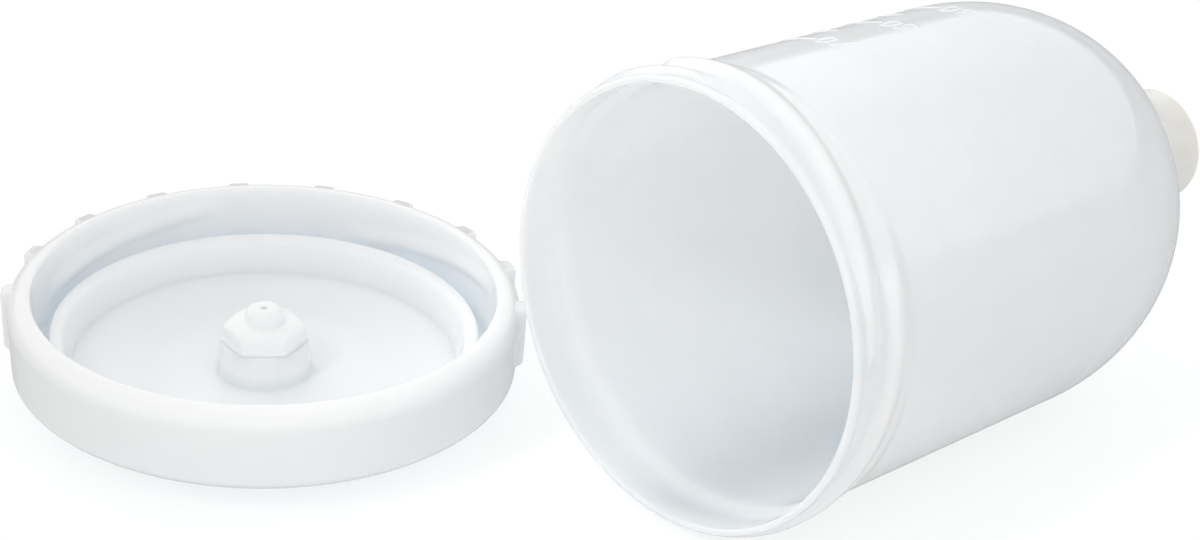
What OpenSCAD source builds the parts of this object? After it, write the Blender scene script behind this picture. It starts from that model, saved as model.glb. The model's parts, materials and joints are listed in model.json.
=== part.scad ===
// Paint cup for a small spray gun, lying on its side, with its screw lid upside down beside it.
// The cup is drawn upright, mouth down at zero and outlet up, and is then laid on its side.

/* [Cup] */
// Distance from the mouth to where the barrel turns into the dome
barrel_len = 46.4; // [38:0.2:60]
// Outer radius of the barrel, carried on to the mouth
barrel_r = 25.7; // [22:0.1:30]
// How much narrower the barrel's radius is at the dome
barrel_taper = 1.6; // [0.8:0.1:2.4]
// Wall of the barrel and the dome
wall = 1.0; // [0.8:0.1:1.6]
// Height of the round dome along the axis
dome_len = 23.5; // [16:0.5:32]
// Width of the flat ring at the end of the dome, round the outlet's stem
dome_flat = 0.5; // [0.3:0.1:2.4]
// Wall at the end of the dome, round the outlet
end_wall = 1.9; // [1.4:0.1:3]
// Radius that the edges of the lip, the groove and the plug ring are rounded by
corner_r = 0.4; // [0.2:0.05:0.5]

/* [Mouth] */
// How far the neck stands out of the barrel, between the screw ridges
neck_out = 0.1; // [0:0.05:0.15]
// How far the lip stands out of the neck
lip_out = 0.2; // [0.1:0.05:0.4]
// Height of the lip
lip_len = 1.0; // [0.9:0.1:1.3]
// Length of the neck
neck_len = 8.2; // [7.6:0.1:10]
// Wall of the neck where the lid's plug ring goes in
neck_wall = 0.65; // [0.6:0.05:0.8]

/* [Screw] */
// Number of screw ridges round the cup
starts = 4; // [3:1:5]
// Angle where the first ridge begins, from the cup's right side as seen from the mouth
start_angle = 2; // [0:1:20]
// Angle that a ridge covers
ridge_span = 119; // [90:1:130]
// Distance from the mouth to the near end of each ridge
ridge_near = 1.7; // [1.6:0.1:2]
// How far each ridge climbs from end to end
ridge_climb = 4.9; // [3.6:0.1:5.2]
// Radius of a ridge's round section
ridge_round = 1.5; // [1.2:0.05:1.5]
// How far a ridge stands out of the neck
ridge_out = 1.0; // [0.8:0.05:1.05]

/* [Graduations] */
// Distances from the mouth to the full marks
full_marks = [25.0, 35.8, 45.8];
// Distances from the mouth to the half marks
half_marks = [30.2, 41.0];
// Numbers at the full marks
mark_numbers = [[7, 0], [5, 0], [3, 0]];
// Angle round the cup at which every mark ends
mark_end = 118; // [114:0.5:124]
// Angle that a full mark covers
full_mark_span = 12.6; // [10:0.2:16]
// Angle that a half mark covers
half_mark_span = 9; // [5:0.2:10]
// Width of a mark along the cup
mark_width = 0.7; // [0.4:0.1:1]
// How far the marks and numbers stand out
mark_out = 0.2; // [0.15:0.05:0.5]
// Height of a digit
digit_height = 2.9; // [2.2:0.1:3.4]
// Width of a digit
digit_width = 1.9; // [1.4:0.1:2.2]
// Width of a digit's stroke
stroke = 0.5; // [0.3:0.05:0.6]
// Angle between the middles of two digits
digit_step = 5.6; // [5.2:0.1:6]

/* [Outlet] */
// Radius of the bore
outlet_bore_r = 4.4; // [3.6:0.1:5]
// Wall of the stem that goes through the dome's end wall
stem_wall = 1.2; // [1:0.05:1.6]
// How far the collar stands out of the stem
collar_step = 1.15; // [0.8:0.05:2]
// Length of the collar beyond the dome
collar_len = 12.2; // [8:0.2:18]
// How far the hole in the cup is smaller than the stem
stem_press = 0.04; // [0.02:0.01:0.08]
// Height of the snap lip inside the cup
snap_len = 1.6; // [1.2:0.1:2.4]
// How far the snap lip stands out of the stem
snap_out = 0.5; // [0.3:0.05:0.8]
// Chamfer at the collar's end
collar_chamfer = 0.4; // [0.2:0.05:0.8]

/* [Lid] */
// Height of the lid
lid_height = 13.3; // [12.8:0.1:16]
// Gap between the cup's screw ridges and the lid's skirt
thread_gap = 0.2; // [0.15:0.05:0.6]
// Thickness of the skirt at its rim
skirt_wall = 2.7; // [2.4:0.1:4]
// How much narrower the skirt's radius is at the shoulder
skirt_draft = 0.4; // [0.2:0.05:0.8]
// Height of the shoulder over the outer face
shoulder_height = 4.4; // [3.4:0.1:5]
// Radius of the flat outer face that the lid lies on
lid_flat_r = 14.4; // [12:0.2:20]
// Floor of the groove that takes the cup's lip
groove_floor = 4.4; // [4.2:0.1:4.6]
// Gap between the plug ring and the cup's mouth
plug_gap = 0.25; // [0.1:0.05:0.4]
// Thickness of the plug ring
plug_wall = 1.9; // [1.4:0.1:2.4]
// Height of the plug ring over the groove's floor
plug_len = 4.2; // [3:0.1:4.6]
// Thickness of the lid in the middle
floor_wall = 3.1; // [2.9:0.1:3.6]
// How much higher the floor is at the plug ring
floor_rise = 1.1; // [0.6:0.1:1.6]
// Radius of the level middle of the floor
floor_flat_r = 14; // [10:0.5:16]
// How far the lid's own screw ridges stand in from the skirt
lid_ridge_in = 0.6; // [0.4:0.05:0.7]
// Angle that each of the lid's screw ridges covers
lid_ridge_span = 56; // [40:1:60]
// Distance from the rim down to the lid's screw ridges
lid_ridge_drop = 0.9; // [0.3:0.1:1.2]

/* [Grip] */
// Number of grip ribs, along one half of the skirt
ribs = 10; // [4:1:14]
// Angle of the first rib
rib_angle = 45.65; // [0:0.05:90]
// Angle between two ribs
rib_step = 20; // [12:0.5:24]
// Width of a rib
rib_width = 2.5; // [1.6:0.1:3]
// How far a rib stands out of the skirt
rib_out = 0.9; // [0.6:0.05:1.4]
// Distance from the shoulder up to a rib's lower end
rib_lift = 0.4; // [0.2:0.1:2.4]
// Distance from the rim down to a rib's upper end
rib_drop = 0.9; // [0.4:0.1:1.5]
// Radius that a rib's upper end is rounded by
rib_top_round = 0.4; // [0.2:0.1:0.8]

/* [Vent] */
// Radius of the vent boss at the lid's floor
boss_r = 5.5; // [5.4:0.1:6.5]
// How much narrower the boss is at its top
boss_draft = 0.4; // [0.2:0.05:0.5]
// Height of the boss over the lid's outer face
boss_top = 7.1; // [6.6:0.1:8]
// Radius of the chamber in the boss
chamber_r = 3.3; // [3.1:0.05:3.6]
// Radius of the vent hole through the lid
vent_r = 0.75; // [0.5:0.05:0.9]
// Thickness of the lid under the chamber
seat_wall = 1.5; // [1.2:0.1:1.7]
// Height of the cone that the ball seats in
seat_height = 1.5; // [1.3:0.1:1.6]
// Radius of the check ball
ball_r = 1.5; // [1.3:0.05:1.6]
// Distance that the ball lies over its seat
ball_gap = 0.15; // [0.1:0.05:0.3]

/* [Vent cap] */
// Distance from the middle of the hexagon to its corners
hex_r = 4.99; // [4.7:0.05:5.05]
// Height of the hexagon
hex_len = 2.3; // [2:0.1:3]
// Angle of the hexagon's first corner
hex_angle = 49.4; // [0:0.1:60]
// Radius of the level top inside the chamfer
hex_top_r = 3.5; // [3:0.1:4]
// Height of the chamfer at the corners
hex_chamfer = 0.6; // [0.3:0.1:0.8]
// Radius of the round tip
tip_r = 2.2; // [2:0.05:2.6]
// Height of the tip over the hexagon
tip_len = 1.8; // [1.4:0.1:2.4]
// Radius of the pinhole in the tip
pinhole_r = 0.4; // [0.3:0.05:0.6]
// Radial gap between the cap's spigot and the chamber
spigot_gap = 0.08; // [0.05:0.01:0.15]
// Length of the spigot in the boss
spigot_len = 2.2; // [1.8:0.1:2.4]
// Radial gap between the ball and the bore that it rises in
cage_gap = 0.4; // [0.3:0.05:0.5]
// How far that bore goes up into the hexagon
cage_rise = 0.5; // [0.2:0.1:0.8]
// Radius of the passage over the ball
passage_r = 1.0; // [0.8:0.05:1.1]

/* [Layout] */
// How far the lid's rim reaches sideways past the widest place of the cup's lip
lid_under = 3.0; // [-16:0.1:3]
// Distance that the lid's middle lies in front of the mouth
lid_ahead = 14.9; // [14.9:0.1:40]

/* [Hidden] */
$fn = 96;

// Points along a round stretch of an outline
arc_steps = 6;
function arc(middle, r, from, to, steps = arc_steps) =
  [for (i = [0:steps]) middle + r * [cos(from + (to - from) * i / steps), sin(from + (to - from) * i / steps)]];

// Cup outline, as radius and distance from the mouth
dome_steps = 24;
stem_r = outlet_bore_r + stem_wall;
collar_r = stem_r + collar_step;
dome_flat_r = stem_r + dome_flat;
neck_r = barrel_r + neck_out;
lip_r = neck_r + lip_out;
mouth_r = neck_r - neck_wall;
shoulder_r = barrel_r - barrel_taper;
dome_drop = shoulder_r - dome_flat_r;
cup_len = barrel_len + dome_len;
neck_blend = 1.2;
function barrel_r_at(s) = barrel_r - barrel_taper * s / barrel_len;
function dome(drop, rise, turn) = [dome_flat_r + drop * cos(turn), barrel_len + rise * sin(turn)];

// Inside of the cup
plug_room = 0.6;
seat_depth = plug_len + plug_room;
seat_blend = 1.6;
inner_end = cup_len - end_wall;
inner_turn = asin((inner_end - barrel_len) / (dome_len - wall));

// Screw ridges: each lies on a circle round the cup that is tipped by the climb
ridge_ring_r = neck_r + ridge_out - ridge_round;
ridge_nose = 0.85;
ridge_end_turn = asin(ridge_nose * ridge_round / ridge_ring_r);
ridge_turn = ridge_span - 2 * ridge_end_turn;
ridge_middle = ridge_near + ridge_climb / 2;
ridge_tip = asin(ridge_climb / (2 * ridge_ring_r * sin(ridge_turn / 2)));

// Height that a tipped ridge reaches out from its middle, seen along a line in the ring's own plane
function ring_reach(lean) = ridge_ring_r * sqrt(1 - lean * lean) + ridge_round;

// Which ridge lies under the cup and which one at its right side, by the angle of its middle
function ridge_angle(i) = start_angle + ridge_span / 2 + i * 360 / starts;
function turn_apart(a, b) = abs(((a - b) % 360 + 540) % 360 - 180);
function nearest_ridge(angle) =
  [for (i = [0:starts - 1]) if (turn_apart(ridge_angle(i), angle) <= 180 / starts) ridge_angle(i)][0];
low_ridge = nearest_ridge(270);
side_ridge = nearest_ridge(0);

// The cup lies on a ridge and on the shoulder of its dome, so its outlet end points down a little
function low_lean(tilt) = sin(tilt) * cos(ridge_tip) + cos(tilt) * cos(low_ridge) * sin(ridge_tip);
function ridge_drop(tilt) = ring_reach(low_lean(tilt));
function dome_reach(tilt) =
  dome_flat_r * cos(tilt) + sqrt(pow(dome_len * sin(tilt), 2) + pow(dome_drop * cos(tilt), 2));
function lie(tilt, rounds) = rounds < 1 ? tilt
  : lie(asin((ridge_drop(tilt) - dome_reach(tilt)) / (barrel_len - ridge_middle)), rounds - 1);
lie_rounds = 6;
cup_tilt = lie(0, lie_rounds);
mouth_height = barrel_len * sin(cup_tilt) + dome_reach(cup_tilt);

// Lid
rim_flat = 0.2;
rim_inner_round = 0.3;
rim_round = skirt_wall - rim_inner_round - rim_flat;
shoulder_power = 1.65;
shoulder_steps = 16;
skirt_bore_r = neck_r + ridge_out + thread_gap;
skirt_r = skirt_bore_r + skirt_wall;
shoulder_skirt_r = skirt_r - skirt_draft;
plug_r = mouth_r - plug_gap;
plug_top = groove_floor + plug_len;
plug_bore_r = plug_r - plug_wall;
floor_edge = floor_wall + floor_rise;
rib_r = skirt_r + rib_out;
rib_low_r = shoulder_skirt_r + rib_out;
rib_low = shoulder_height + rib_lift;
rib_half_turn = asin(rib_width / 2 / rib_r);
lid_ridge_round = skirt_wall / 2;
lid_ridge_ring_r = skirt_bore_r - lid_ridge_in + lid_ridge_round;
lid_ridge_climb = 2 * lid_ridge_ring_r * sin(lid_ridge_span / 2) * sin(ridge_tip);
lid_ridge_middle = lid_height - lid_ridge_drop - lid_ridge_round - lid_ridge_climb / 2;

// Vent
ball_seat_angle = atan(seat_height / (chamber_r - vent_r));
seat_apex = seat_wall - vent_r * tan(ball_seat_angle);
ball_height = seat_apex + ball_r / cos(ball_seat_angle) + ball_gap;
cage_r = ball_r + cage_gap;
cage_top = boss_top + cage_rise;
hex_top = boss_top + hex_len;
tip_top = hex_top + tip_len;

// Frame: the origin is the middle of the whole row's box, on the surface that it lies on
function rib_reach(direction) = max([for (i = [0:ribs - 1])
  rib_r * cos(max(0, turn_apart(rib_angle + i * rib_step, direction) - rib_half_turn))]);
function lid_reach(direction) = max(skirt_r, rib_reach(direction));
lid_aside = lip_r + skirt_r - lid_under;
collar_end = cup_len + collar_len;
right_edge = ring_reach(sin(side_ridge) * sin(ridge_tip));
left_edge = -lid_aside - lid_reach(180);
back_edge = collar_end * cos(cup_tilt) + (collar_r - collar_chamfer) * sin(cup_tilt);
front_edge = -lid_ahead - lid_reach(270);
cup_place = [-(right_edge + left_edge) / 2, -(back_edge + front_edge) / 2, mouth_height];
lid_place = [cup_place[0] - lid_aside, cup_place[1] - lid_ahead, 0];

module lay_cup() {
  translate(cup_place) rotate([-90 - cup_tilt, 0, 0]) children();
}

// One screw ridge: a round bar bent round the wall, with a smaller round nose at each end
module screw_ridge(ring_r, section_r, turn) {
  rotate([0, 0, -turn / 2]) rotate_extrude(angle = turn) translate([ring_r, 0]) circle(r = section_r, $fn = 32);
  for (side = [-1, 1]) rotate([0, 0, side * turn / 2]) translate([ring_r, 0, 0])
    sphere(r = ridge_nose * section_r, $fn = 32);
}

module cup_outside() {
  rotate_extrude() polygon(concat(
    [[0, 0]],
    arc([lip_r - corner_r, corner_r], corner_r, -90, 0),
    [[lip_r, lip_len], [neck_r, lip_len + lip_r - neck_r],
     [neck_r, neck_len], [barrel_r_at(neck_len + neck_blend), neck_len + neck_blend]],
    [for (i = [0:dome_steps]) dome(dome_drop, dome_len, 90 * i / dome_steps)],
    [[0, cup_len]]));
}

module cup_inside() {
  rotate_extrude() polygon(concat(
    [[0, -1], [mouth_r + corner_r, -1], [mouth_r + corner_r / 2, 0], [mouth_r, corner_r],
     [mouth_r, seat_depth], [barrel_r_at(seat_depth + seat_blend) - wall, seat_depth + seat_blend]],
    [for (i = [0:dome_steps]) dome(dome_drop - wall, dome_len - wall, inner_turn * i / dome_steps)],
    [[0, inner_end]]));
}

module mark(s, span) {
  half = mark_width / 2;
  rotate([0, 0, -mark_end]) rotate_extrude(angle = span) polygon([
    [barrel_r_at(s) - wall / 2, s - half], [barrel_r_at(s - half) + mark_out, s - half],
    [barrel_r_at(s + half) + mark_out, s + half], [barrel_r_at(s) - wall / 2, s + half]]);
}

// Outline of a stroke along a path, with mitred corners
function left_of(path, i) = let (step = path[i + 1] - path[i]) [-step[1], step[0]] / norm(step);
function miter(path, i) =
  let (before = left_of(path, max(i - 1, 0)), after = left_of(path, min(i, len(path) - 2)))
  (before + after) / (1 + before * after);
function stroke_outline(path) = concat(
  [for (i = [0:len(path) - 1]) path[i] + stroke / 2 * miter(path, i)],
  [for (i = [len(path) - 1:-1:0]) path[i] - stroke / 2 * miter(path, i)]);

// Digits are drawn about the middle of a cell, by the middle line of their strokes
cell_x = (digit_width - stroke) / 2;
cell_y = (digit_height - stroke) / 2;
low_bowl = [0, cell_x - cell_y];
seven_path = [[-cell_x, cell_y], [cell_x, cell_y], [-cell_x / 2, -cell_y]];
five_top = [[cell_x, cell_y], [-cell_x * 0.8, cell_y], [-cell_x * 0.9, low_bowl[1] + cell_x * 0.7]];
five_bowl = arc(low_bowl, cell_x, 130, -140, 9);
three_top = arc([0, cell_y - cell_x * 0.85], cell_x * 0.85, 150, -75, 8);
three_bowl = arc(low_bowl, cell_x, 75, -150, 8);
function oval(r) = concat(arc([0, cell_y - cell_x], r, 0, 180), arc([0, cell_x - cell_y], r, 180, 360));

module digit(number) {
  if (number == 0) difference() {
    polygon(oval(cell_x + stroke / 2));
    polygon(oval(cell_x - stroke / 2));
  }
  if (number == 3) {
    polygon(stroke_outline(three_top));
    polygon(stroke_outline(three_bowl));
  }
  if (number == 5) {
    polygon(stroke_outline(five_top));
    polygon(stroke_outline(five_bowl));
  }
  if (number == 7) polygon(stroke_outline(seven_path));
}

// Digits read from left to right with the mouth up, and end beside the mark
module mark_number(s, digits) {
  for (i = [0:len(digits) - 1]) {
    angle = mark_end - full_mark_span - digit_step * (len(digits) - i - 0.35);
    rotate([0, 0, -angle]) translate([barrel_r_at(s) - wall / 2, 0, s])
      rotate([-90, 0, 0]) rotate([0, 90, 0]) linear_extrude(wall / 2 + mark_out) digit(digits[i]);
  }
}

module cup_body() {
  color("ghostwhite") lay_cup() difference() {
    union() {
      cup_outside();
      for (i = [0:starts - 1]) rotate([0, 0, -ridge_angle(i)]) translate([0, 0, ridge_middle])
        rotate([-ridge_tip, 0, 0]) screw_ridge(ridge_ring_r, ridge_round, ridge_turn);
      for (s = full_marks) mark(s, full_mark_span);
      for (s = half_marks) mark(s, half_mark_span);
      for (i = [0:len(full_marks) - 1]) mark_number(full_marks[i], mark_numbers[i]);
    }
    cup_inside();
    cylinder(r = stem_r - stem_press, h = cup_len + 1);
  }
}

module outlet_fitting() {
  snap_start = inner_end - snap_len;
  color("floralwhite") lay_cup() difference() {
    rotate_extrude() polygon([
      [0, snap_start], [stem_r - snap_out, snap_start], [stem_r + snap_out, inner_end - snap_len / 3],
      [stem_r + snap_out, inner_end], [stem_r, inner_end], [stem_r, cup_len], [collar_r, cup_len],
      [collar_r, collar_end - collar_chamfer], [collar_r - collar_chamfer, collar_end], [0, collar_end]]);
    translate([0, 0, snap_start - 1]) cylinder(r = outlet_bore_r, h = collar_end - snap_start + 2);
  }
}

function shoulder_point(turn) = [
  lid_flat_r + (shoulder_skirt_r - lid_flat_r) * pow(sin(turn), 2 / shoulder_power),
  shoulder_height - shoulder_height * pow(cos(turn), 2 / shoulder_power)];

module lid_wall() {
  rotate_extrude() polygon(concat(
    [[0, 0]],
    [for (i = [0:shoulder_steps]) shoulder_point(90 * i / shoulder_steps)],
    arc([skirt_r - rim_round, lid_height - rim_round], rim_round, 0, 90),
    arc([skirt_bore_r + rim_inner_round, lid_height - rim_inner_round], rim_inner_round, 90, 180),
    [[skirt_bore_r, groove_floor + corner_r], [skirt_bore_r - corner_r, groove_floor],
     [plug_r + corner_r, groove_floor], [plug_r, groove_floor + corner_r]],
    arc([plug_r - corner_r, plug_top - corner_r], corner_r, 0, 90),
    arc([plug_bore_r + corner_r, plug_top - corner_r], corner_r, 90, 180),
    [[plug_bore_r, floor_edge + corner_r], [plug_bore_r - corner_r, floor_edge],
     [floor_flat_r, floor_wall], [0, floor_wall]]));
}

// Ribs are cut out of one ring, so that all of them share its rounded ends
module grip_ribs() {
  rib_high = lid_height - rib_drop;
  end_round = rib_out;
  intersection() {
    rotate_extrude() polygon(concat(
      [[skirt_bore_r + 1, rib_low]],
      arc([rib_low_r - end_round, rib_low + end_round], end_round, -90, 0),
      arc([rib_r - rib_top_round, rib_high - rib_top_round], rib_top_round, 0, 90),
      [[skirt_bore_r + 1, rib_high]]));
    for (i = [0:ribs - 1]) rotate([0, 0, rib_angle + i * rib_step])
      translate([skirt_bore_r, -rib_width / 2, 0]) cube([rib_r - skirt_bore_r + 1, rib_width, lid_height]);
  }
}

module lid_shell() {
  color("white") translate(lid_place) difference() {
    union() {
      lid_wall();
      grip_ribs();
      for (i = [0:starts - 1]) rotate([0, 0, i * 360 / starts]) translate([0, 0, lid_ridge_middle])
        rotate([-ridge_tip, 0, 0]) screw_ridge(lid_ridge_ring_r, lid_ridge_round, lid_ridge_span);
      translate([0, 0, floor_wall / 2]) cylinder(r1 = boss_r, r2 = boss_r - boss_draft, h = boss_top - floor_wall / 2);
    }
    translate([0, 0, -1]) cylinder(r = vent_r, h = boss_top);
    translate([0, 0, seat_wall]) cylinder(r1 = vent_r, r2 = chamber_r, h = seat_height);
    translate([0, 0, seat_wall + seat_height]) cylinder(r = chamber_r, h = boss_top);
  }
}

module vent_cap() {
  color("snow") translate(lid_place) difference() {
    union() {
      translate([0, 0, boss_top - spigot_len]) cylinder(r = chamber_r - spigot_gap, h = spigot_len + hex_len / 2);
      intersection() {
        translate([0, 0, boss_top]) rotate([0, 0, hex_angle]) cylinder(r = hex_r, h = hex_len, $fn = 6);
        rotate_extrude() polygon([
          [0, boss_top], [hex_r, boss_top], [hex_r, hex_top - hex_chamfer], [hex_top_r, hex_top], [0, hex_top]]);
      }
      rotate_extrude() polygon(concat(
        [[0, hex_top - hex_len / 2], [tip_r, hex_top - hex_len / 2]],
        arc([tip_r - tip_len / 2, tip_top - tip_len / 2], tip_len / 2, 0, 90),
        [[0, tip_top]]));
    }
    translate([0, 0, boss_top - spigot_len - 1]) cylinder(r = cage_r, h = cage_top - boss_top + spigot_len + 1);
    cylinder(r = passage_r, h = hex_top + tip_len / 3);
    cylinder(r = pinhole_r, h = tip_top + 1);
  }
}

module vent_ball() {
  color("gainsboro") translate(lid_place + [0, 0, ball_height]) sphere(r = ball_r);
}

cup_body();
outlet_fitting();
lid_shell();
vent_cap();
vent_ball();
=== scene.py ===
import json
import math

import bpy
import numpy as np
from mathutils import Matrix, Vector


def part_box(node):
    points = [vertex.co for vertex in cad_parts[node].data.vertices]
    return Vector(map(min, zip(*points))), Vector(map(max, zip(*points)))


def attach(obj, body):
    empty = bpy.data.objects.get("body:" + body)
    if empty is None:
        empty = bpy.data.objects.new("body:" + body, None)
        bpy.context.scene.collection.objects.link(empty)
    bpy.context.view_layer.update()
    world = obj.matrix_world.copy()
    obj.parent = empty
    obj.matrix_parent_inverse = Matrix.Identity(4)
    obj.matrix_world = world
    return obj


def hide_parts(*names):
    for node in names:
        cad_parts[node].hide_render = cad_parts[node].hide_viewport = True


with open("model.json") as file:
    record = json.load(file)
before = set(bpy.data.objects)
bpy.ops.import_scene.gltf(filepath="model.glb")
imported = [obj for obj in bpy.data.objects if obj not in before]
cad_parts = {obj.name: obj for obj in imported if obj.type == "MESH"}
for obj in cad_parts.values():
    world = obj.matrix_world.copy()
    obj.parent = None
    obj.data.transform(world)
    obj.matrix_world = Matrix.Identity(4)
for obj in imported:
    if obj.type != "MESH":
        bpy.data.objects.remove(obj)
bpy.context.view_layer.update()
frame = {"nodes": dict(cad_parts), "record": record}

mm = 0.001


# Points along an arc, angles in degrees
def arcPoints(middle, radius, start, end, steps=6):
    turns = np.radians(np.linspace(start, end, steps + 1))
    return np.array(middle) + radius * np.stack([np.cos(turns), np.sin(turns)], 1)


# Adds points along an outline so that no step is longer than the given one
def spaced(points, step):
    points = np.array(points, float)
    pieces = []
    for a, b in zip(points[:-1], points[1:]):
        count = max(1, math.ceil(np.linalg.norm(b - a) / step))
        pieces.append(a + (b - a) * np.linspace(0, 1, count, endpoint=False)[:, None])
    return np.concatenate(pieces + [points[-1:]])


# Stops from start to end, close together inside the zones and wide apart outside them
def unevenStops(start, end, coarse, fine, zones):
    stops = [start]
    while stops[-1] < end - 1e-6:
        here = stops[-1]
        inside = any(low <= here < high for low, high in zones)
        ahead = [low - here for low, high in zones if low > here]
        step = fine if inside else min([coarse] + ahead)
        stops.append(min(end, here + max(step, fine)))
    return np.array(stops)


# Rises softly from 0 to 1
def smooth(t):
    t = np.clip(t, 0, 1)
    return t * t * (3 - 2 * t)


# Angle from the middle, between -180 and 180
def turnFrom(angles, middle):
    return (angles - middle + 180) % 360 - 180


# Height of a screw ridge over its wall, a soft swell that follows a tipped circle and runs out at its ends
def ridgeHeight(angles, heights, middleAngle, screw, side):
    turn = turnFrom(angles, middleAngle)
    held = np.clip(turn, -screw["halfTurn"], screw["halfTurn"])
    along = screw["wallR"] * np.radians(turn - held)
    tip = math.sin(math.radians(screw["tip"]))
    past = heights - (screw["middle"] + side * screw["wallR"] * np.sin(np.radians(held)) * tip)
    width = np.where(past > 0, screw["farWidth"], screw["halfWidth"])
    across = np.hypot(along / screw["halfWidth"], past / width)
    fromEnd = screw["wallR"] * np.radians(screw["halfTurn"] - np.abs(turn)) + screw["halfWidth"]
    return screw["out"] * (1 - np.clip(across, 0, 1) ** 2) ** 2 * smooth(fromEnd / screw["taperLen"])


# Highest of all the starts of a screw
def ridges(angles, heights, screw, side):
    ridge = np.zeros(np.broadcast(angles, heights).shape)
    for i in range(screw["starts"]):
        middle = screw["firstMiddle"] + i * 360 / screw["starts"]
        ridge = np.maximum(ridge, ridgeHeight(angles, heights, middle, screw, side))
    return ridge


def distanceToPath(x, y, path):
    nearest = np.full(np.broadcast(x, y).shape, np.inf)
    for (ax, ay), (bx, by) in zip(path[:-1], path[1:]):
        dx, dy = bx - ax, by - ay
        t = np.clip(((x - ax) * dx + (y - ay) * dy) / (dx * dx + dy * dy), 0, 1)
        nearest = np.minimum(nearest, np.hypot(x - ax - t * dx, y - ay - t * dy))
    return nearest


# Closed mesh from rings of points in mm: every row is a ring, and the last row joins the first
def ringMesh(name, radii, heights, angles, place):
    turns = np.radians(angles)[None, :]
    radii = np.broadcast_to(radii, (len(radii), len(angles)))
    heights = np.broadcast_to(heights, radii.shape)
    points = np.stack([radii * np.cos(turns), radii * np.sin(turns), heights], -1) * mm
    rows, columns = radii.shape
    index = np.arange(rows * columns).reshape(rows, columns)
    beside, above = np.roll(index, -1, 1), np.roll(index, -1, 0)
    faces = np.stack([index, beside, np.roll(above, -1, 1), above], -1).reshape(-1, 4)
    turn = np.array(place.to_3x3())
    flat = points.reshape(-1, 3) @ turn.T + np.array(place.translation)
    a, b, c, d = (flat[faces[:, k]] - flat.mean(0) for k in range(4))
    volume = (a * np.cross(b, c)).sum() + (a * np.cross(c, d)).sum()
    if volume < 0:  # the faces have to look outwards
        faces = faces[:, ::-1]
    mesh = bpy.data.meshes.new(name)
    mesh.from_pydata(flat.tolist(), [], faces.tolist())
    mesh.shade_smooth()
    piece = bpy.data.objects.new(name, mesh)
    bpy.context.scene.collection.objects.link(piece)
    print(name, rows, "rows", columns, "columns")
    return piece


# Where the cup's mouth and axis and the lid's middle are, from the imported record
collarMiddle = 75.8  # distance of the collar's mount from the mouth, in mm
collarMount = next(m for m in frame["record"]["mounts"] if m["name"] == "outlet_collar")
cupAxis = Vector(collarMount["axis"]).normalized()
cupRight = Vector((1, 0, 0))
cupUp = Vector((0, -cupAxis.z, cupAxis.y))
mouthMiddle = Vector(collarMount["pos_m"]) - cupAxis * collarMiddle * mm
cupPlace = Matrix.Translation(mouthMiddle) @ Matrix((cupRight, cupUp, cupAxis)).transposed().to_4x4()
ventLow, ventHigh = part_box("vent_cap")
lidMiddle = Vector(((ventLow.x + ventHigh.x) / 2, (ventLow.y + ventHigh.y) / 2, 0))
lidPlace = Matrix.Translation(lidMiddle)

# Cup, lengths in mm from the mouth, angles in degrees from its right side as seen from the mouth
cup = {
    "barrelLen": 46.4, "barrelR": 25.7, "taper": 1.6, "wall": 1.0,
    "domeLen": 23.5, "domeFlatR": 6.1, "endWall": 1.9, "holeR": 5.56, "holeEdge": 0.1,
    "lipR": 25.99, "lipLen": 1.0, "lipRound": 0.4, "lipBackEdge": 0.1, "lipBackFoot": 0.3,
    "neckR": 25.8, "neckLen": 7.5, "neckBlend": 2.6,
    "mouthR": 25.15, "mouthRound": 0.3, "mouthRoundEnd": 0.05, "seatDepth": 4.8, "seatBlend": 1.6,
}
cupScrew = {
    "starts": 4, "firstMiddle": 61.5, "halfTurn": 56.6, "wallR": 25.8, "halfWidth": 1.6,
    "farWidth": 2.6, "middle": 4.15, "tip": 6.66, "taperLen": 4.0, "out": 0.84,
}
marks = {
    "full": (25.0, 35.8, 45.8), "half": (30.2, 41.0), "numbers": ("70", "50", "30"),
    "end": 118.0, "fullSpan": 12.6, "halfSpan": 9.0, "width": 0.46, "out": 0.12, "edge": 0.16,
    "digitHeight": 2.9, "digitWidth": 1.9, "stroke": 0.34, "digitStep": 5.6, "digitShift": 0.35,
}
# How close the cup's points lie, in mm along its wall and in degrees round it, finer at the marks
cupMesh = {
    "turn": 1.0, "markTurn": 0.28, "markTurnsBefore": 1, "markTurnsAfter": 0.6,
    "neck": 0.16, "barrel": 1.0, "mark": 0.13, "digitMargin": 0.2, "halfMarkMargin": 0.6,
    "domeStart": 1.5, "domeRows": 40, "innerDomeRows": 36, "inside": 1.2,
}


def barrelRAt(s):
    return cup["barrelR"] - cup["taper"] * s / cup["barrelLen"]


# Points on the dome's outline, inset by a wall or by nothing
def domeRow(turn, inset):
    turn = np.radians(turn)
    drop = cup["barrelR"] - cup["taper"] - cup["domeFlatR"] - inset
    return np.stack([cup["domeFlatR"] + drop * np.cos(turn),
                     cup["barrelLen"] + (cup["domeLen"] - inset) * np.sin(turn)], 1)


# Middle line of a digit, about the middle of its cell. The two bowls of a 3 and the bowl of a 5 are arcs.
def digitPath(digit):
    x = (marks["digitWidth"] - marks["stroke"]) / 2
    y = (marks["digitHeight"] - marks["stroke"]) / 2
    bowl = (0, x - y)
    if digit == "0":
        top = arcPoints((0, y - x), x, 0, 180, 10)
        oval = np.concatenate([top, arcPoints(bowl, x, 180, 360, 10)])
        return np.concatenate([oval, oval[:1]])
    if digit == "3":
        topR = 0.85 * x
        top = arcPoints((0, y - topR), topR, 150, -75, 10)
        return np.concatenate([top, arcPoints(bowl, x, 75, -150, 10)])
    if digit == "5":
        top = np.array([(x, y), (-0.8 * x, y), (-0.9 * x, bowl[1] + 0.7 * x)])
        return np.concatenate([top, arcPoints(bowl, x, 130, -140, 12)])
    return np.array([(-x, y), (x, y), (-x / 2, -y)])


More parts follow.
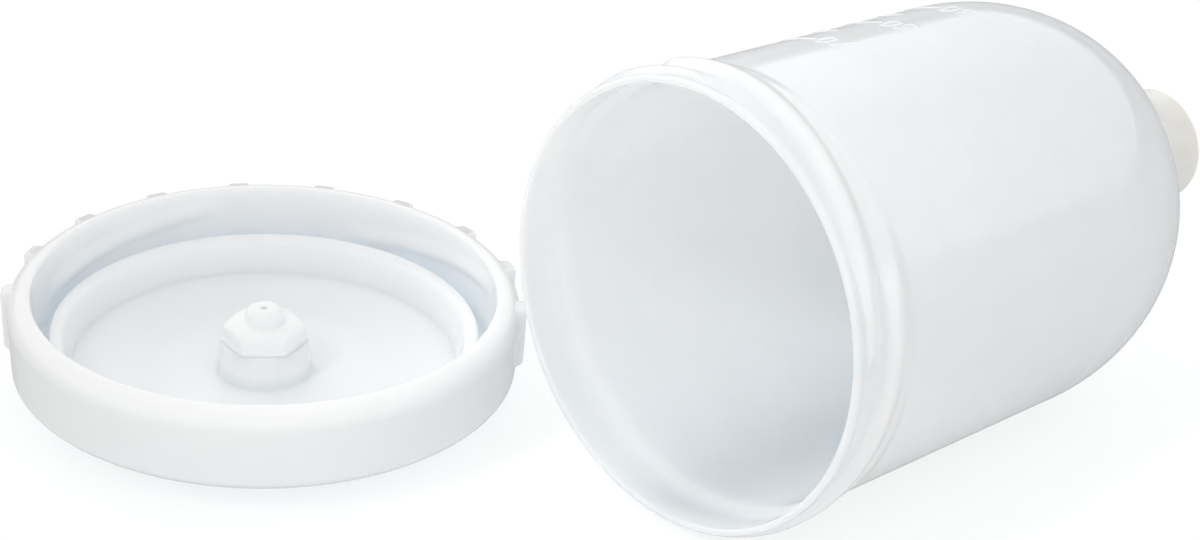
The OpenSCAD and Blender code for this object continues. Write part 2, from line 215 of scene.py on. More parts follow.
# How far the graduations and their numbers stand out from the barrel
def markHeight(angles, s):
    height = np.zeros(np.broadcast(angles, s).shape)
    for stops, span in ((marks["full"], marks["fullSpan"]), (marks["half"], marks["halfSpan"])):
        for stop in stops:
            across = np.radians(angles - marks["end"] + span / 2) * barrelRAt(stop)
            beyond = np.maximum(np.abs(across) - math.radians(span / 2) * barrelRAt(stop),
                                np.abs(s - stop) - marks["width"] / 2)
            height = np.maximum(height, smooth(0.5 - beyond / marks["edge"]))
    for stop, number in zip(marks["full"], marks["numbers"]):
        for i, digit in enumerate(number):
            place = marks["digitStep"] * (len(number) - i - marks["digitShift"])
            middle = marks["end"] - marks["fullSpan"] - place
            across = np.radians(angles - middle) * barrelRAt(stop)
            gap = distanceToPath(across, stop - s, digitPath(digit))
            height = np.maximum(height, smooth(0.5 - (gap - marks["stroke"] / 2) / marks["edge"]))
    return height * marks["out"]


def makeCup():
    c = cup
    fine = cupMesh
    cupLen = c["barrelLen"] + c["domeLen"]
    innerEnd = cupLen - c["endWall"]
    neckEnd = c["neckLen"] + c["neckBlend"]
    seatEnd = c["seatDepth"] + c["seatBlend"]
    digitZone = marks["digitHeight"] / 2 + fine["digitMargin"]
    rowZones = [(s - digitZone, s + digitZone) for s in marks["full"]]
    rowZones += [(s - fine["halfMarkMargin"], s + fine["halfMarkMargin"]) for s in marks["half"]]
    lowMark = marks["end"] - marks["fullSpan"] - 2 * marks["digitStep"] - fine["markTurnsBefore"]
    markZone = (lowMark, marks["end"] + fine["markTurnsAfter"])
    angles = unevenStops(0.0, 360.0, fine["turn"], fine["markTurn"], [markZone])[:-1]

    # Lip, from the edge of the mouth out and over to the neck
    lip = np.concatenate([
        arcPoints((c["mouthR"] + c["mouthRound"], c["mouthRound"]), c["mouthRound"], 180, 270),
        arcPoints((c["lipR"] - c["lipRound"], c["lipRound"]), c["lipRound"], -90, 0),
        [(c["lipR"], c["lipLen"] - c["lipBackEdge"]), (c["neckR"], c["lipLen"] + c["lipBackFoot"])]])

    # Neck and barrel, with the screw ridges and the marks raised on them
    neckS = np.arange(c["lipLen"] + c["lipBackFoot"] + fine["neck"], neckEnd, fine["neck"])
    barrelS = unevenStops(neckEnd, c["barrelLen"] + digitZone, fine["barrel"], fine["mark"],
                          sorted(rowZones))
    bodyS = np.concatenate([neckS, barrelS])
    blend = smooth((bodyS - c["neckLen"]) / c["neckBlend"])
    wallR = c["neckR"] + (barrelRAt(bodyS) - c["neckR"]) * blend
    past = np.clip((bodyS - c["barrelLen"]) / c["domeLen"], 0, 1)
    domeR = c["domeFlatR"] + (barrelRAt(c["barrelLen"]) - c["domeFlatR"]) * np.sqrt(1 - past ** 2)
    wallR = np.where(bodyS > c["barrelLen"], domeR, wallR)
    turns = angles[None, :]
    bodyS = bodyS[:, None]
    raised = ridges(turns, bodyS, cupScrew, 1) * (1 - blend[:, None])
    bodyR = wallR[:, None] + raised + markHeight(turns, bodyS)

    # Dome, then through the hole and back along the inside to the mouth
    domeStart = math.degrees(math.asin(digitZone / c["domeLen"])) + fine["domeStart"]
    dome = domeRow(np.linspace(domeStart, 90, fine["domeRows"]), 0)
    innerTurn = math.degrees(math.asin((innerEnd - c["barrelLen"]) / (c["domeLen"] - c["wall"])))
    inside = spaced(np.concatenate([
        [(c["holeR"] + c["holeEdge"], cupLen), (c["holeR"], cupLen - c["holeEdge"]),
         (c["holeR"], innerEnd + c["holeEdge"]), (c["holeR"] + c["holeEdge"], innerEnd)],
        domeRow(np.linspace(innerTurn, 0, fine["innerDomeRows"]), c["wall"]),
        [(barrelRAt(seatEnd) - c["wall"], seatEnd), (c["mouthR"], c["seatDepth"]),
         (c["mouthR"], c["mouthRound"] + c["mouthRoundEnd"])]]), fine["inside"])

    wide = np.ones(len(angles))
    radii = np.concatenate([lip[:, :1] * wide, bodyR, dome[:, :1] * wide, inside[:, :1] * wide])
    heights = np.concatenate([lip[:, 1:] * wide, bodyS * wide, dome[:, 1:] * wide, inside[:, 1:] * wide])
    return ringMesh("cupBody", radii, heights, angles, cupPlace)


# Outlet fitting, lengths in mm from the cup's mouth
outlet = {
    "boreR": 4.4, "boreRound": 0.25, "boreStart": 0.4, "stemR": 5.6, "collarR": 6.75,
    "shoulder": 69.9, "shoulderRound": 0.15, "end": 82.1, "endRound": 0.42,
    "snapLow": 66.4, "snapHigh": 68.0, "snapOut": 0.5, "meshStep": 0.5, "meshTurn": 2.5,
}


def makeOutlet():
    o = outlet
    snapR = o["stemR"] + o["snapOut"]
    rampEnd = o["snapHigh"] - (o["snapHigh"] - o["snapLow"]) / 3
    corner = o["shoulderRound"]
    profile = spaced(np.concatenate([
        [(o["boreR"], o["snapLow"]), (o["stemR"] - o["snapOut"], o["snapLow"]),
         (snapR, rampEnd), (snapR, o["snapHigh"]),
         (o["stemR"], o["snapHigh"]), (o["stemR"], o["shoulder"])],
        arcPoints((o["collarR"] - corner, o["shoulder"] + corner), corner, -90, 0, 3),
        arcPoints((o["collarR"] - o["endRound"], o["end"] - o["endRound"]), o["endRound"], 0, 90),
        arcPoints((o["boreR"] + o["boreRound"], o["end"] - o["boreRound"]), o["boreRound"], 90, 180, 4),
        [(o["boreR"], o["snapLow"] + o["boreStart"])]]), o["meshStep"])
    angles = np.arange(0, 360, o["meshTurn"])
    return ringMesh("outletFitting", profile[:, :1], profile[:, 1:], angles, cupPlace)


# Screw lid, upside down, heights in mm over the surface that it lies on
lid = {
    "height": 13.3, "skirtR": 29.7, "draft": 0.4, "shoulder": 4.4, "flatR": 14.4, "power": 1.65,
    "rimRound": 2.2, "rimInnerRound": 0.3, "rimStart": 2, "boreR": 27.0, "boreStart": 0.05,
    "groove": 4.4, "corner": 0.4, "plugR": 24.9, "plugTop": 8.3, "plugEdge": 0.3,
    "plugInnerRound": 1.2, "plugBoreR": 23.2, "plugFootR": 22.4,
    "floorEdge": 4.2, "floorWall": 3.1, "floorFlatR": 14.0,
    "bossR": 5.35, "bossFillet": 0.5, "bossTopR": 5.1, "bossTop": 7.1, "bossTopRound": 0.14,
    "chamberR": 3.3, "chamberEdge": 0.1, "seatWall": 1.5, "seatTop": 3.0, "ventR": 0.75, "ventStart": 0.1,
}
grip = {
    "ribs": 10, "first": 45.65, "step": 20.0, "width": 2.5, "out": 0.88, "low": 5.0, "high": 12.5,
    "lowRound": 0.9, "topRound": 0.5, "topMargin": 0.01, "sideBlend": 0.5, "skirtMargin": 0.6,
}
lidScrew = {
    "starts": 4, "firstMiddle": 0.0, "halfTurn": 28.0, "wallR": 27.0, "halfWidth": 1.7,
    "farWidth": 1.7, "middle": 9.54, "tip": 6.66, "taperLen": 6.0, "out": 0.5,
}
# How close the lid's points lie, in mm along its wall and in degrees round it, finer at the ribs' sides
lidMesh = {
    "turn": 1.2, "ribTurn": 0.14, "ribSide": 2.4, "ribMargin": 0.7, "shoulderRows": 26,
    "skirt": 0.16, "outside": 1.0, "rimRows": 32, "bore": 0.22, "inside": 0.8,
}


# Radius of the ribs' outer face at a height, or nothing above and below them
def ribFaceR(heights):
    rise = np.clip((heights - lid["shoulder"]) / (lid["height"] - lid["shoulder"]), 0, 1)
    face = lid["skirtR"] - lid["draft"] * (1 - rise) + grip["out"]
    low = np.clip(grip["low"] + grip["lowRound"] - heights, 0, grip["lowRound"])
    top = np.clip(heights - grip["high"] + grip["topRound"], 0, grip["topRound"])
    face = face - grip["lowRound"] + np.sqrt(grip["lowRound"] ** 2 - low ** 2)
    face = face - grip["topRound"] + np.sqrt(grip["topRound"] ** 2 - top ** 2)
    return np.where((heights > grip["low"]) & (heights < grip["high"] + grip["topMargin"]), face, 0)


# 1 on a rib, 0 between the ribs
def ribShare(angles):
    share = np.zeros(len(angles))
    for i in range(grip["ribs"]):
        turn = turnFrom(angles, grip["first"] + i * grip["step"])
        across = (lid["skirtR"] + grip["out"]) * np.sin(np.radians(np.clip(turn, -90, 90)))
        share = np.maximum(share, smooth(0.5 + (grip["width"] / 2 - np.abs(across)) / grip["sideBlend"]))
    return share


def makeLid():
    k = lid
    fine = lidMesh
    ribZones = []
    for i in range(grip["ribs"]):
        for side in (-1, 1):
            ribEdge = (grip["first"] + i * grip["step"] + side * fine["ribSide"]) % 360
            ribZones.append((ribEdge - fine["ribMargin"], ribEdge + fine["ribMargin"]))
    angles = unevenStops(0.0, 360.0, fine["turn"], fine["ribTurn"], sorted(ribZones))[:-1]

    # Outer face and skirt, from the vent hole out and up to the rim
    turn = np.radians(np.linspace(0, 90, fine["shoulderRows"]))
    shoulderR = k["skirtR"] - k["draft"]
    shoulder = np.stack([k["flatR"] + (shoulderR - k["flatR"]) * np.sin(turn) ** (2 / k["power"]),
                         k["shoulder"] - k["shoulder"] * np.cos(turn) ** (2 / k["power"])], 1)
    rimZ = k["height"] - k["rimRound"]
    outside = spaced(np.concatenate([
        [(k["ventR"], 0.0)], shoulder[:-1],
        spaced([(shoulderR, k["shoulder"]), (k["skirtR"], rimZ)], fine["skirt"]),
        arcPoints((k["skirtR"] - k["rimRound"], rimZ), k["rimRound"], k["rimStart"], 90, fine["rimRows"]),
    ]), fine["outside"])

    # Inner edge of the rim, and the bore that carries the screw ridges
    innerRimZ = k["height"] - k["rimInnerRound"]
    rim = arcPoints((k["boreR"] + k["rimInnerRound"], innerRimZ), k["rimInnerRound"], 90, 180)
    grooveZ = k["groove"] + k["corner"]
    bore = spaced([(k["boreR"], innerRimZ - k["boreStart"]), (k["boreR"], grooveZ)], fine["bore"])

    # Groove, plug ring, floor, boss and its chamber, down to the vent hole
    corner = k["corner"]
    plugEdgeZ = k["plugTop"] - k["plugEdge"]
    innerRound = k["plugInnerRound"]
    fillet = k["bossFillet"]
    topRound = k["bossTopRound"]
    inside = spaced(np.concatenate([
        arcPoints((k["boreR"] - corner, grooveZ), corner, 0, -90, 4)[1:],
        arcPoints((k["plugR"] + corner, grooveZ), corner, 270, 180, 4),
        arcPoints((k["plugR"] - k["plugEdge"], plugEdgeZ), k["plugEdge"], 0, 90),
        arcPoints((k["plugBoreR"] + innerRound, k["plugTop"] - innerRound), innerRound, 90, 165, 10),
        arcPoints((k["plugFootR"] - corner, k["floorEdge"] + corner), corner, -15, -80, 4),
        [(k["floorFlatR"], k["floorWall"])],
        arcPoints((k["bossR"] + fillet, k["floorWall"] + fillet), fillet, 270, 180, 5),
        arcPoints((k["bossTopR"] - topRound, k["bossTop"] - topRound), topRound, 0, 90, 4),
        [(k["chamberR"] + k["chamberEdge"], k["bossTop"]), (k["chamberR"], k["bossTop"] - k["chamberEdge"]),
         (k["chamberR"], k["seatTop"]), (k["ventR"], k["seatWall"]), (k["ventR"], k["ventStart"])],
    ]), fine["inside"])

    # The ribs stand out from the skirt, and the screw ridges stand in from the bore
    profile = np.concatenate([outside, rim, bore, inside])
    profileR, profileZ = profile[:, :1], profile[:, 1:]
    radii = profileR * np.ones(len(angles))
    heights = profileZ * np.ones(len(angles))
    onOutside = (np.arange(len(profile)) < len(outside))[:, None]
    onSkirt = onOutside & (profileR > shoulderR - grip["skirtMargin"])
    ribOut = np.maximum(ribFaceR(profileZ) - radii, 0) * ribShare(angles)[None, :]
    radii = np.where(onSkirt, radii + ribOut, radii)
    first = len(outside) + len(rim)
    radii[first:first + len(bore)] -= ridges(angles[None, :], bore[:, 1:], lidScrew, -1)
    return ringMesh("lidShell", radii, heights, angles, lidPlace)


# Vent cap, a hexagon with a round tip, heights in mm over the surface that the lid lies on
vent = {
    "apothem": 4.32, "cornerR": 4.97, "cornerRound": 0.3, "turn": 49.4, "low": 7.1, "high": 9.4,
    "topR": 3.5, "slope": 0.4027, "edge": 0.34, "filletR": 0.3, "filletMaxR": 5.05, "footEdge": 0.03,
    "tipR": 2.2, "tipTop": 11.2, "tipRound": 0.9, "tipFillet": 0.3, "pinholeR": 0.4, "pinholeEdge": 0.1,
    "spigotR": 3.22, "spigotLow": 4.9, "cageR": 1.9, "cageTop": 7.6, "passageR": 1.0, "passageTop": 10.0,
}
# How close its points lie, and where the rows of the edge, the sides and the fillet begin
ventMesh = {
    "turn": 1.5, "tip": 0.3, "under": 0.4, "coneRows": 8, "edgeTurn": 65, "edgeRows": 6,
    "sideStart": 0.08, "sideRows": 7, "filletTurn": 15, "filletRows": 5,
}


def makeVentCap():
    k = vent
    fine = ventMesh
    angles = np.arange(0, 360, fine["turn"])
    wide = np.ones(len(angles))
    fromFace = (angles - k["turn"]) % 60 - 30
    flatR = k["apothem"] / np.cos(np.radians(fromFace))
    # The smaller of the flat side and the corner's round, with a soft change between them
    hexR = (flatR + k["cornerR"] - np.sqrt((flatR - k["cornerR"]) ** 2 + k["cornerRound"] ** 2)) / 2
    edgeZ = k["high"] - (hexR - k["topR"]) * k["slope"]

    # The round tip with its pinhole, and the spigot, cage and passage under the cap
    pinholeTopR = k["pinholeR"] + k["pinholeEdge"]
    tip = spaced(np.concatenate([
        [(k["pinholeR"], k["passageTop"]), (k["pinholeR"], k["tipTop"] - k["pinholeEdge"]),
         (pinholeTopR, k["tipTop"])],
        arcPoints((k["tipR"] - k["tipRound"], k["tipTop"] - k["tipRound"]), k["tipRound"], 90, 0, 10),
        arcPoints((k["tipR"] + k["tipFillet"], k["high"] + k["tipFillet"]), k["tipFillet"], 180, 270, 5),
    ]), fine["tip"])
    under = spaced([(k["spigotR"], k["low"]), (k["spigotR"], k["spigotLow"]), (k["cageR"], k["spigotLow"]),
                    (k["cageR"], k["cageTop"]), (k["passageR"], k["cageTop"]),
                    (k["passageR"], k["passageTop"]), (pinholeTopR, k["passageTop"])], fine["under"])

    # Rows down the tip and the cone, over its edge, down the six sides and out along the fillet
    radii = [r * wide for r, z in tip]
    heights = [z * wide for r, z in tip]
    for share in np.linspace(0, 1, fine["coneRows"]):
        cone = k["topR"] + (hexR - k["edge"] - k["topR"]) * share
        radii.append(cone)
        heights.append(k["high"] - (cone - k["topR"]) * k["slope"])
    for turn in np.radians(np.linspace(fine["edgeTurn"], 0, fine["edgeRows"])):
        radii.append(hexR - k["edge"] * (1 - math.cos(turn)))
        heights.append(edgeZ - k["edge"] * (1 - math.sin(turn)))
    for share in np.linspace(fine["sideStart"], 1, fine["sideRows"]):
        radii.append(hexR)
        heights.append(edgeZ - k["edge"] + (k["low"] + k["filletR"] - edgeZ + k["edge"]) * share)
    for turn in np.radians(np.linspace(fine["filletTurn"], 90, fine["filletRows"])):
        radii.append(np.minimum(hexR + k["filletR"] * (1 - math.cos(turn)), k["filletMaxR"]))
        heights.append((k["low"] + k["footEdge"] + k["filletR"] * (1 - math.sin(turn))) * wide)
    footR = radii[-1]
    for r, z in ((0, 0.3), (-0.3, 0), (-2, 0)):  # close rows keep the foot's edge crisp
        radii.append(footR + r * k["footEdge"])
        heights.append((k["low"] + z * k["footEdge"]) * wide)
    radii += [r * wide for r, z in under]
    heights += [z * wide for r, z in under]
    return ringMesh("ventCap", np.array(radii), np.array(heights), angles, lidPlace)


# Linear colour from an sRGB hex value
def linear(code):
    values = [int(code[i:i + 2], 16) / 255 for i in (1, 3, 5)]
    return [v / 12.92 if v <= 0.04045 else ((v + 0.055) / 1.055) ** 2.4 for v in values] + [1.0]


# Adds a node with its settings and links
def addNode(tree, kind, settings=None, links=None):
    node = tree.nodes.new(kind)
    for name, value in (settings or {}).items():
        if isinstance(name, int) or name in node.inputs.keys():
            node.inputs[name].default_value = value
        else:
            setattr(node, name, value)
    for socket, source in (links or {}).items():
        tree.links.new(source, node.inputs[socket])
    return node


# Milky plastic, a little see-through, with the skin that it takes from the mould. The eye sees faint clouds
# in the resin, slow streaks where it flowed out from the middle, and light scuffs that dull the gloss.
def mouldedPlastic(name, look, place):
    material = bpy.data.materials.new(name)
    material.use_nodes = True
    tree = material.node_tree
    tree.nodes.clear()

    # Where a point lies on the piece, in mm along the piece's own axes
    inverse = place.inverted()
    local = addNode(tree, "ShaderNodeTexCoord")
    inMm = addNode(tree, "ShaderNodeMapping",
                   {"Location": inverse.translation / mm, "Rotation": inverse.to_euler(),
                    "Scale": (1 / mm,) * 3},
                   {"Vector": local.outputs["Object"]})

    # Clouds, and streaks that run outwards from the axis and change slowly along it
    cloud = addNode(tree, "ShaderNodeTexNoise",
                    {"Scale": 1 / look["cloudMm"], "Detail": 2.0, "Roughness": 0.4},
                    {"Vector": inMm.outputs[0]})
    across = addNode(tree, "ShaderNodeVectorMath", {"operation": "MULTIPLY", 1: (1, 1, 0)},
                     {0: inMm.outputs[0]})
    spoke = addNode(tree, "ShaderNodeVectorMath", {"operation": "NORMALIZE"}, {0: across.outputs[0]})
    drift = addNode(tree, "ShaderNodeVectorMath", {"operation": "MULTIPLY", 1: (look["flowDrift"],) * 3},
                    {0: inMm.outputs[0]})
    flowPlace = addNode(tree, "ShaderNodeVectorMath",
                        {"operation": "MULTIPLY_ADD", 1: (look["flowCount"],) * 3},
                        {0: spoke.outputs[0], 2: drift.outputs[0]})
    flow = addNode(tree, "ShaderNodeTexNoise", {"Scale": 1.0, "Detail": 1.0, "Roughness": 0.4},
                   {"Vector": flowPlace.outputs[0]})
    mixed = addNode(tree, "ShaderNodeMath", {"operation": "MULTIPLY_ADD", 1: look["flowShare"]},
                    {0: flow.outputs[0], 2: cloud.outputs[0]})
    deepFrom, paleFrom = look["cloudRange"]
    ranged = addNode(tree, "ShaderNodeMapRange",
                     {"interpolation_type": "SMOOTHSTEP",
                      "From Min": deepFrom + deepFrom * look["flowShare"],
                      "From Max": paleFrom + paleFrom * look["flowShare"]},
                     {"Value": mixed.outputs[0]})
    colour = addNode(tree, "ShaderNodeMix",
                     {"data_type": "RGBA", 6: linear(look["deep"]), 7: linear(look["pale"])},
                     {0: ranged.outputs[0]})

    # Painted shade: low down and inside the plug ring, the floor's colour is mixed towards a darker one
    if "paintedShade" in look:
        paintedShade = look["paintedShade"]
        height = addNode(tree, "ShaderNodeSeparateXYZ", None, {0: inMm.outputs[0]})
        low = addNode(tree, "ShaderNodeMapRange",
                      {"interpolation_type": "SMOOTHSTEP",
                       "From Min": paintedShade["top"], "From Max": paintedShade["under"]},
                      {"Value": height.outputs["Z"]})
        radius = addNode(tree, "ShaderNodeVectorMath", {"operation": "LENGTH"}, {0: across.outputs[0]})
        inside = addNode(tree, "ShaderNodeMapRange",
                         {"interpolation_type": "SMOOTHSTEP",
                          "From Min": paintedShade["outerR"], "From Max": paintedShade["innerR"]},
                         {"Value": radius.outputs["Value"]})
        shadeShare = addNode(tree, "ShaderNodeMath", {"operation": "MULTIPLY"},
                       {0: low.outputs[0], 1: inside.outputs[0]})
        colour = addNode(tree, "ShaderNodeMix", {"data_type": "RGBA", 7: linear(paintedShade["colour"])},
                         {0: shadeShare.outputs[0], 6: colour.outputs[2]})

    # Scuffs, drawn out to one side, where the skin is rougher
    scuffPlace = addNode(tree, "ShaderNodeVectorMath", {"operation": "MULTIPLY", 1: look["scuffStretch"]},
                         {0: inMm.outputs[0]})
    scuff = addNode(tree, "ShaderNodeTexNoise",
                    {"Scale": 1 / look["scuffMm"], "Detail": 3.0, "Roughness": 0.5},
                    {"Vector": scuffPlace.outputs[0]})
    scuffFrom, scuffTo = look["scuffRange"]
    roughness = addNode(tree, "ShaderNodeMapRange",
                        {"interpolation_type": "SMOOTHSTEP", "From Min": scuffFrom, "From Max": scuffTo,
                         "To Min": look["roughness"], "To Max": look["roughness"] + look["scuffRough"]},
                        {"Value": scuff.outputs[0]})

    # The skin's slow waves, and the fine grain of the mould
    peel = addNode(tree, "ShaderNodeTexNoise", {"Scale": 1 / look["peelMm"], "Detail": 1.0},
                   {"Vector": inMm.outputs[0]})
    grain = addNode(tree, "ShaderNodeTexNoise", {"Scale": 1 / look["grainMm"], "Detail": 1.0},
                    {"Vector": inMm.outputs[0]})
    peelBump = addNode(tree, "ShaderNodeBump", {"Strength": 1.0, "Distance": look["peelHeight"] * mm},
                       {"Height": peel.outputs[0]})
    grainBump = addNode(tree, "ShaderNodeBump", {"Strength": 1.0, "Distance": look["grainHeight"] * mm},
                        {"Height": grain.outputs[0], "Normal": peelBump.outputs[0]})
    shader = addNode(tree, "ShaderNodeBsdfPrincipled",
                     {"IOR": look["ior"], "Subsurface Weight": look["milky"],
                      "Subsurface Radius": look["spread"], "Subsurface Scale": look["spreadMm"] * mm},
                     {"Base Color": colour.outputs[2], "Roughness": roughness.outputs[0],
                      "Normal": grainBump.outputs[0]})
    addNode(tree, "ShaderNodeOutputMaterial", None, {"Surface": shader.outputs[0]})
    return material


# Natural polypropylene, moulded in a polished tool: light passes far inside its milky wall and comes out
# cool, under a clear, soft gloss. Sizes of clouds, scuffs, waves and grain are in mm. The tool's grain is
# really about 0.05 mm and is drawn at 0.35 mm, so that it shows.
cupLook = {
    "pale": "#F8FAFB", "deep": "#F3F6F8", "cloudMm": 9.0, "cloudRange": (0.3, 0.7),
    "flowCount": 3.0, "flowShare": 0.3, "flowDrift": 0.03,
    "roughness": 0.09, "scuffMm": 2.4, "scuffStretch": (0.3, 1.2, 1.2), "scuffRange": (0.45, 0.75),
    "scuffRough": 0.06, "peelMm": 4.0, "peelHeight": 0.01, "grainMm": 0.35, "grainHeight": 0.001,
    "ior": 1.49, "milky": 1.0, "spread": (1.15, 1.05, 0.95), "spreadMm": 4.0,
}
# Polypropylene with thicker walls, moulded in a satin tool: whiter and closer than the cup, with a wider
# shine. Its floor inside the plug ring carries painted shade, a slightly darker colour.
lidLook = dict(cupLook, pale="#F9FCFE", deep="#F6FAFD", roughness=0.17,
               spread=(1.0, 1.0, 1.0), spreadMm=1.5,
               # Painted shade: the darker colour of the floor inside the plug ring, and the heights and
               # radii where it lies
               paintedShade={"colour": "#F2F5F7", "top": 4.8, "under": 4.0, "outerR": 23.2, "innerR": 22.0})
# White polypropylene, moulded small and left as it leaves the tool: nearly opaque, with a dull skin.
ventLook = dict(cupLook, pale="#FCFDFD", deep="#F9FAFA", roughness=0.33, cloudMm=3.0,
                milky=0.4, spreadMm=0.12)
# Polyethylene, moulded: a warmer, waxy white that light enters less far, with a dull soft shine.
outletLook = dict(cupLook, pale="#EFEEEA", deep="#E9E7E2", roughness=0.3, cloudMm=4.0, peelHeight=0.006,
                  spread=(1.1, 1.0, 0.9), spreadMm=1.0)
# Acetal, ground round and polished: a dense off-white with a small, clear highlight.
ballLook = dict(cupLook, pale="#EEEDEB", deep="#E4E3E0", roughness=0.15, cloudMm=1.5, spreadMm=0.4)

cupBody = makeCup()
outletFitting = makeOutlet()
lidShell = makeLid()
ventCap = makeVentCap()
print("pieces done")

cupBody.data.materials.append(mouldedPlastic("naturalPolypropyleneMoulded", cupLook, cupPlace))
outletFitting.data.materials.append(mouldedPlastic("warmPolyethyleneMoulded", outletLook, cupPlace))
lidShell.data.materials.append(mouldedPlastic("lidPolypropyleneMoulded", lidLook, lidPlace))
ventCap.data.materials.append(mouldedPlastic("whitePolypropyleneMoulded", ventLook, lidPlace))
ball = frame["nodes"]["vent_ball"]
ball.data.materials.clear()
ball.data.materials.append(mouldedPlastic("acetalBallPolished", ballLook, lidPlace))
print("materials done")

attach(cupBody, "cup")
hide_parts("cup_body")
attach(outletFitting, "cup")
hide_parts("outlet_fitting")
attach(lidShell, "lid")
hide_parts("lid_shell")
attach(ventCap, "vent_cap")
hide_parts("vent_cap")

# Camera, at the photograph's angle
camera = {
    "focalPixels": 4410.5, "frameWidth": 1200, "sensor": 36.0, "clip": (0.01, 20),
    "place": (0.32272, -0.32764, 0.25018), "pitch": 27.154, "pan": -44.861, "roll": 2.201,
}


def makeCamera():
    pitch, pan, roll = (math.radians(camera[name]) for name in ("pitch", "pan", "roll"))
    forward = Vector((math.sin(pan) * math.cos(pitch), math.cos(pan) * math.cos(pitch), -math.sin(pitch)))
    level = forward.cross(Vector((0, 0, 1))).normalized()
    rise = level.cross(forward)
    right = level * math.cos(roll) + rise * math.sin(roll)
    up = rise * math.cos(roll) - level * math.sin(roll)
    data = bpy.data.cameras.new("photoCamera")
    data.sensor_width = camera["sensor"]
    data.lens = camera["focalPixels"] / camera["frameWidth"] * camera["sensor"]
    data.clip_start, data.clip_end = camera["clip"]
    seen = bpy.data.objects.new("photoCamera", data)
    turned = Matrix((right, up, -forward)).transposed().to_4x4()
    seen.matrix_world = Matrix.Translation(Vector(camera["place"])) @ turned
    bpy.context.scene.collection.objects.link(seen)
    bpy.context.scene.camera = seen


# Studio: a pale paper table, a white backdrop all round it, a dimmer room above, and soft lamps. The
# camera sees plain white, reflections show the backdrop and the room, and the object is lit at the level
# given as skyForObject. Angles are in degrees, and azimuths run from +Y towards +X.
studio = {
    "floorSize": 6.0, "floorDrop": 0.00005, "floorColour": "#F2F4F5", "floorShine": 0.5,
    "shadowShare": 0.3,
    "paperWhite": 1.09,  # with the lit paper's share, the open floor comes to a strength of 1
    "skyForObject": 0.722, "roomShine": 0.34, "backdropFoot": (8.0, 8.6), "backdropTop": (30.0, 46.0),
    "bounces": 20,  # light passes many times between milky walls
    "lamps": {
        "overhead": {"azimuth": 60, "elevation": 72, "distance": 1.0, "size": (0.9, 0.9), "watts": 0.38,
                     "beam": 180, "shines": True, "aim": (0, 0, 0.02)},
        "backLeft": {"azimuth": -70, "elevation": 32, "distance": 1.2, "size": (1.5, 1.0), "watts": 4.1,
                     "beam": 180, "shines": False, "aim": (0, 0, 0.02)},
        "frontFill": {"azimuth": 114, "elevation": 42, "distance": 1.3, "size": (1.7, 0.9), "watts": 2.0,
                      "beam": 180, "shines": False, "aim": (0, 0, 0.02)},
        "mouthFill": {"azimuth": 184, "elevation": 44, "distance": 0.4, "size": (0.1, 0.1), "watts": 0.009,
                      "beam": 14, "shines": False, "aim": (0.03, -0.01, 0.024)},
    },
}


# Matte white paper, smooth and uncoated: the eye sees an even white that takes a pale, soft shadow
def makeFloor():
    half = studio["floorSize"] / 2
    drop = -studio["floorDrop"]
    mesh = bpy.data.meshes.new("floor")
    mesh.from_pydata([(-half, -half, drop), (half, -half, drop), (half, half, drop), (-half, half, drop)],
                     [], [(0, 1, 2, 3)])
    floor = bpy.data.objects.new("floor", mesh)
    bpy.context.scene.collection.objects.link(floor)
    material = bpy.data.materials.new("paperSweepMatte")
    material.use_nodes = True
    tree = material.node_tree
    tree.nodes.clear()
    path = addNode(tree, "ShaderNodeLightPath")
    paper = addNode(tree, "ShaderNodeBsdfDiffuse", {"Color": linear(studio["floorColour"])})
    white = addNode(tree, "ShaderNodeEmission", {"Color": (1, 1, 1, 1), "Strength": studio["paperWhite"]})
    shown = addNode(tree, "ShaderNodeMixShader", {0: studio["shadowShare"]},
                    {1: white.outputs[0], 2: paper.outputs[0]})
    through = addNode(tree, "ShaderNodeMath", {"operation": "MAXIMUM"},
                      {0: path.outputs["Is Camera Ray"], 1: path.outputs["Is Transmission Ray"]})
    direct = addNode(tree, "ShaderNodeMixShader", None,
                     {0: through.outputs[0], 1: paper.outputs[0], 2: shown.outputs[0]})
    dimmer = addNode(tree, "ShaderNodeEmission", {"Color": (1, 1, 1, 1), "Strength": studio["floorShine"]})
    final = addNode(tree, "ShaderNodeMixShader", None,
                    {0: path.outputs["Is Glossy Ray"], 1: direct.outputs[0], 2: dimmer.outputs[0]})
    addNode(tree, "ShaderNodeOutputMaterial", None, {"Surface": final.outputs[0]})
    mesh.materials.append(material)


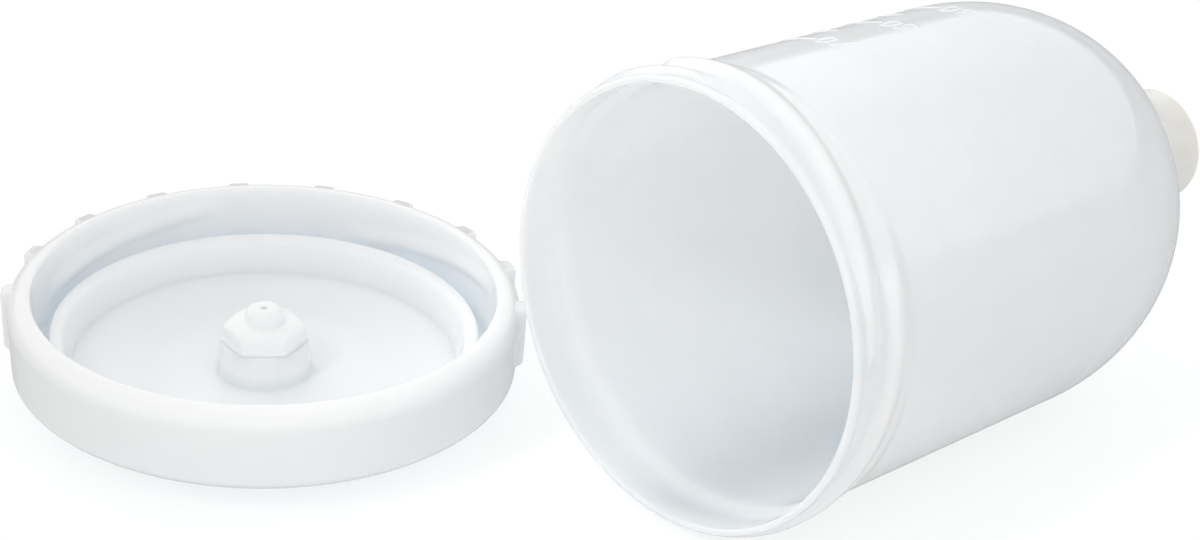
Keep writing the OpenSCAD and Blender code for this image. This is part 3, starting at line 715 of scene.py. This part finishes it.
def makeWorld():
    world = bpy.data.worlds.new("studio")
    bpy.context.scene.world = world
    world.use_nodes = True
    tree = world.node_tree
    tree.nodes.clear()
    path = addNode(tree, "ShaderNodeLightPath")
    around = addNode(tree, "ShaderNodeTexCoord")
    direction = addNode(tree, "ShaderNodeSeparateXYZ", None, {0: around.outputs["Generated"]})
    foot = [math.sin(math.radians(edge)) for edge in studio["backdropFoot"]]
    top = [math.sin(math.radians(edge)) for edge in studio["backdropTop"]]
    above = addNode(tree, "ShaderNodeMapRange",
                    {"interpolation_type": "SMOOTHSTEP", "From Min": foot[0], "From Max": foot[1]},
                    {"Value": direction.outputs["Z"]})
    below = addNode(tree, "ShaderNodeMapRange",
                    {"interpolation_type": "SMOOTHSTEP", "From Min": top[1], "From Max": top[0]},
                    {"Value": direction.outputs["Z"]})
    backdrop = addNode(tree, "ShaderNodeMath", {"operation": "MULTIPLY"},
                       {0: above.outputs[0], 1: below.outputs[0]})
    shine = addNode(tree, "ShaderNodeMapRange", {"To Min": studio["roomShine"], "To Max": 1.0},
                    {"Value": backdrop.outputs[0]})
    light = addNode(tree, "ShaderNodeBackground",
                    {"Color": (1, 1, 1, 1), "Strength": studio["skyForObject"]})
    mirrored = addNode(tree, "ShaderNodeBackground", {"Color": (1, 1, 1, 1)},
                       {"Strength": shine.outputs[0]})
    white = addNode(tree, "ShaderNodeBackground", {"Color": (1, 1, 1, 1), "Strength": 1.0})
    onObject = addNode(tree, "ShaderNodeMixShader", None,
                       {0: path.outputs["Is Glossy Ray"], 1: light.outputs[0], 2: mirrored.outputs[0]})
    through = addNode(tree, "ShaderNodeMath", {"operation": "MAXIMUM"},
                      {0: path.outputs["Is Camera Ray"], 1: path.outputs["Is Transmission Ray"]})
    final = addNode(tree, "ShaderNodeMixShader", None,
                    {0: through.outputs[0], 1: onObject.outputs[0], 2: white.outputs[0]})
    addNode(tree, "ShaderNodeOutputWorld", None, {"Surface": final.outputs[0]})


def makeLamps():
    for name, lamp in studio["lamps"].items():
        azimuth, elevation = math.radians(lamp["azimuth"]), math.radians(lamp["elevation"])
        away = Vector((math.sin(azimuth) * math.cos(elevation), math.cos(azimuth) * math.cos(elevation),
                       math.sin(elevation)))
        data = bpy.data.lights.new(name, "AREA")
        data.shape = "RECTANGLE"
        data.size, data.size_y = lamp["size"]
        data.energy = lamp["watts"]
        data.spread = math.radians(lamp["beam"])
        light = bpy.data.objects.new(name, data)
        light.location = Vector(lamp["aim"]) + away * lamp["distance"]
        light.rotation_euler = away.to_track_quat("Z", "Y").to_euler()
        light.visible_camera = False
        light.visible_glossy = lamp["shines"]
        bpy.context.scene.collection.objects.link(light)


makeCamera()
makeFloor()
makeWorld()
makeLamps()
bpy.context.scene.view_settings.view_transform = "Standard"
bpy.context.scene.cycles.max_bounces = studio["bounces"]
bpy.context.scene.cycles.diffuse_bounces = studio["bounces"]
print("studio done")
